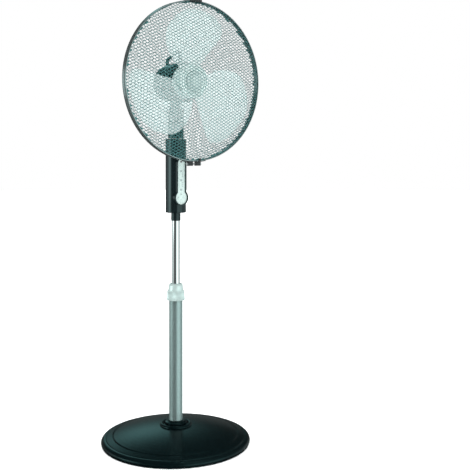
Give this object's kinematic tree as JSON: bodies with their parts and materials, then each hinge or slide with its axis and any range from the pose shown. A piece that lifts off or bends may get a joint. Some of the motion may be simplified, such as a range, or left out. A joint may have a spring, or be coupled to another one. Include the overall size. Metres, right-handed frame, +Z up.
{
  "type": "pedestal fan",
  "caption": "Pedestal fan with a round weighted base, telescopic mast, control column, and a swivelling and tilting head with a bladed rotor in a mesh cage.",
  "frame": {"origin": "on the floor, on the mast's axis, at the centre of the round base", "axes": "+Z up along the mast; -Y is the side that the fan blows towards; +X to the right seen from the front"},
  "size_m": [0.421, 0.4, 1.1835],
  "materials": {
    "base_plastic": "satin black moulded plastic",
    "gloss_black": "polished black plastic",
    "black_plastic": "matt black plastic",
    "cast_iron": "rough casting, blacked",
    "rubber": "soft black rubber",
    "silver_paint": "silver metallic paint on steel tube",
    "silver_plastic": "pale silver plastic",
    "chrome": "bright chrome plate",
    "zinc_steel": "zinc-plated steel",
    "motor_steel": "laminated electrical steel",
    "copper": "enamelled copper wire",
    "bronze": "sintered bronze",
    "white_nylon": "natural nylon",
    "panel_silver": "satin silver-white fascia",
    "lens_clear": "clear light pipe",
    "lens_dark": "dark infrared window",
    "circuit_board": "glass-epoxy board",
    "guard_mesh": "silver expanded-metal mesh",
    "band_metal": "dark metallic paint",
    "blade_clear": "milky translucent plastic"
  },
  "bodies": {
    "stand": {"base_shell": "base_plastic", "base_weight": "cast_iron", "base_feet": "rubber", "hub_ring": "base_plastic", "tube_socket": "base_plastic", "lower_tube": "silver_paint", "tube_plug": "zinc_steel", "base_bolt": "zinc_steel", "weight_screws": "zinc_steel", "threaded_sleeve": "silver_plastic", "collet": "white_nylon"},
    "height_nut": {"height_nut": "silver_plastic"},
    "mast": {"upper_tube": "chrome", "mast_guide": "black_plastic", "neck_collar": "gloss_black", "column_front": "gloss_black", "column_rear": "gloss_black", "column_screws": "zinc_steel", "panel_bezel": "gloss_black", "panel_insert": "panel_silver", "led_lenses": "lens_clear", "ir_window": "lens_dark", "control_board": "circuit_board", "button_switches": "black_plastic", "run_capacitor": "white_nylon", "swing_motor": "zinc_steel", "swivel_washer": "white_nylon", "cord_gland": "rubber"},
    "button_power": {"button_power": "panel_silver"},
    "button_speed": {"button_speed": "panel_silver"},
    "button_swing": {"button_swing": "panel_silver"},
    "button_timer": {"button_timer": "panel_silver"},
    "swivel": {"swivel_neck": "gloss_black", "swivel_gear": "white_nylon", "retaining_ring": "zinc_steel", "tilt_bolt": "zinc_steel", "tilt_nut": "zinc_steel"},
    "swing_pinion": {"swing_pinion": "white_nylon"},
    "head": {"motor_bracket": "gloss_black", "motor_cover_front": "gloss_black", "motor_cover_rear": "gloss_black", "carry_handle": "gloss_black", "stator_core": "motor_steel", "stator_winding": "copper", "bearing_front": "bronze", "bearing_rear": "bronze", "rear_guard": "guard_mesh", "guard_nut": "black_plastic", "front_guard": "guard_mesh", "rim_band": "band_metal", "band_lugs": "black_plastic", "band_screw": "zinc_steel", "top_hook": "black_plastic", "guard_clip": "black_plastic"},
    "rotor": {"motor_shaft": "zinc_steel", "rotor_core": "motor_steel", "fan_blade": "blade_clear", "drive_pin": "zinc_steel", "spinner_nut": "blade_clear"}
  },
  "joints": [
    {"name": "height_nut_turn", "type": "hinge", "parent": "stand", "child": "height_nut", "pos_m": [0, 0, 0.384], "axis": [0, 0, 1], "range_deg": [0, 120]},
    {"name": "mast_slide", "type": "slide", "parent": "stand", "child": "mast", "axis": [0, 0, 1], "range_m": [-0.16, 0.12]},
    {"name": "press_power", "type": "slide", "parent": "mast", "child": "button_power", "axis": [0, 1, 0], "range_m": [0, 0.0008], "stiffness_N_per_m": 500, "springref_m": -0.0006},
    {"name": "press_speed", "type": "slide", "parent": "mast", "child": "button_speed", "axis": [0, 1, 0], "range_m": [0, 0.0008], "stiffness_N_per_m": 500, "springref_m": -0.0006},
    {"name": "press_swing", "type": "slide", "parent": "mast", "child": "button_swing", "axis": [0, 1, 0], "range_m": [0, 0.0008], "stiffness_N_per_m": 500, "springref_m": -0.0006},
    {"name": "press_timer", "type": "slide", "parent": "mast", "child": "button_timer", "axis": [0, 1, 0], "range_m": [0, 0.0008], "stiffness_N_per_m": 500, "springref_m": -0.0006},
    {"name": "swivel_turn", "type": "hinge", "parent": "mast", "child": "swivel", "pos_m": [0, 0, 0.8], "axis": [0, 0, 1], "range_deg": [-40, 40]},
    {"name": "pinion_turn", "type": "hinge", "parent": "mast", "child": "swing_pinion", "pos_m": [0, 0.015, 0.8], "axis": [0, 0, 1], "range_deg": [-80, 80]},
    {"name": "head_tilt", "type": "hinge", "parent": "swivel", "child": "head", "pos_m": [0, 0, 0.893], "axis": [1, 0, 0], "range_deg": [-25, 8]},
    {"name": "rotor_spin", "type": "hinge", "parent": "head", "child": "rotor", "pos_m": [0, 0, 0.97], "axis": [0, -1, 0], "continuous": true}
  ],
  "couplings": [
    {"joint": "pinion_turn", "follows": "swivel_turn", "ratio": -2}
  ]
}
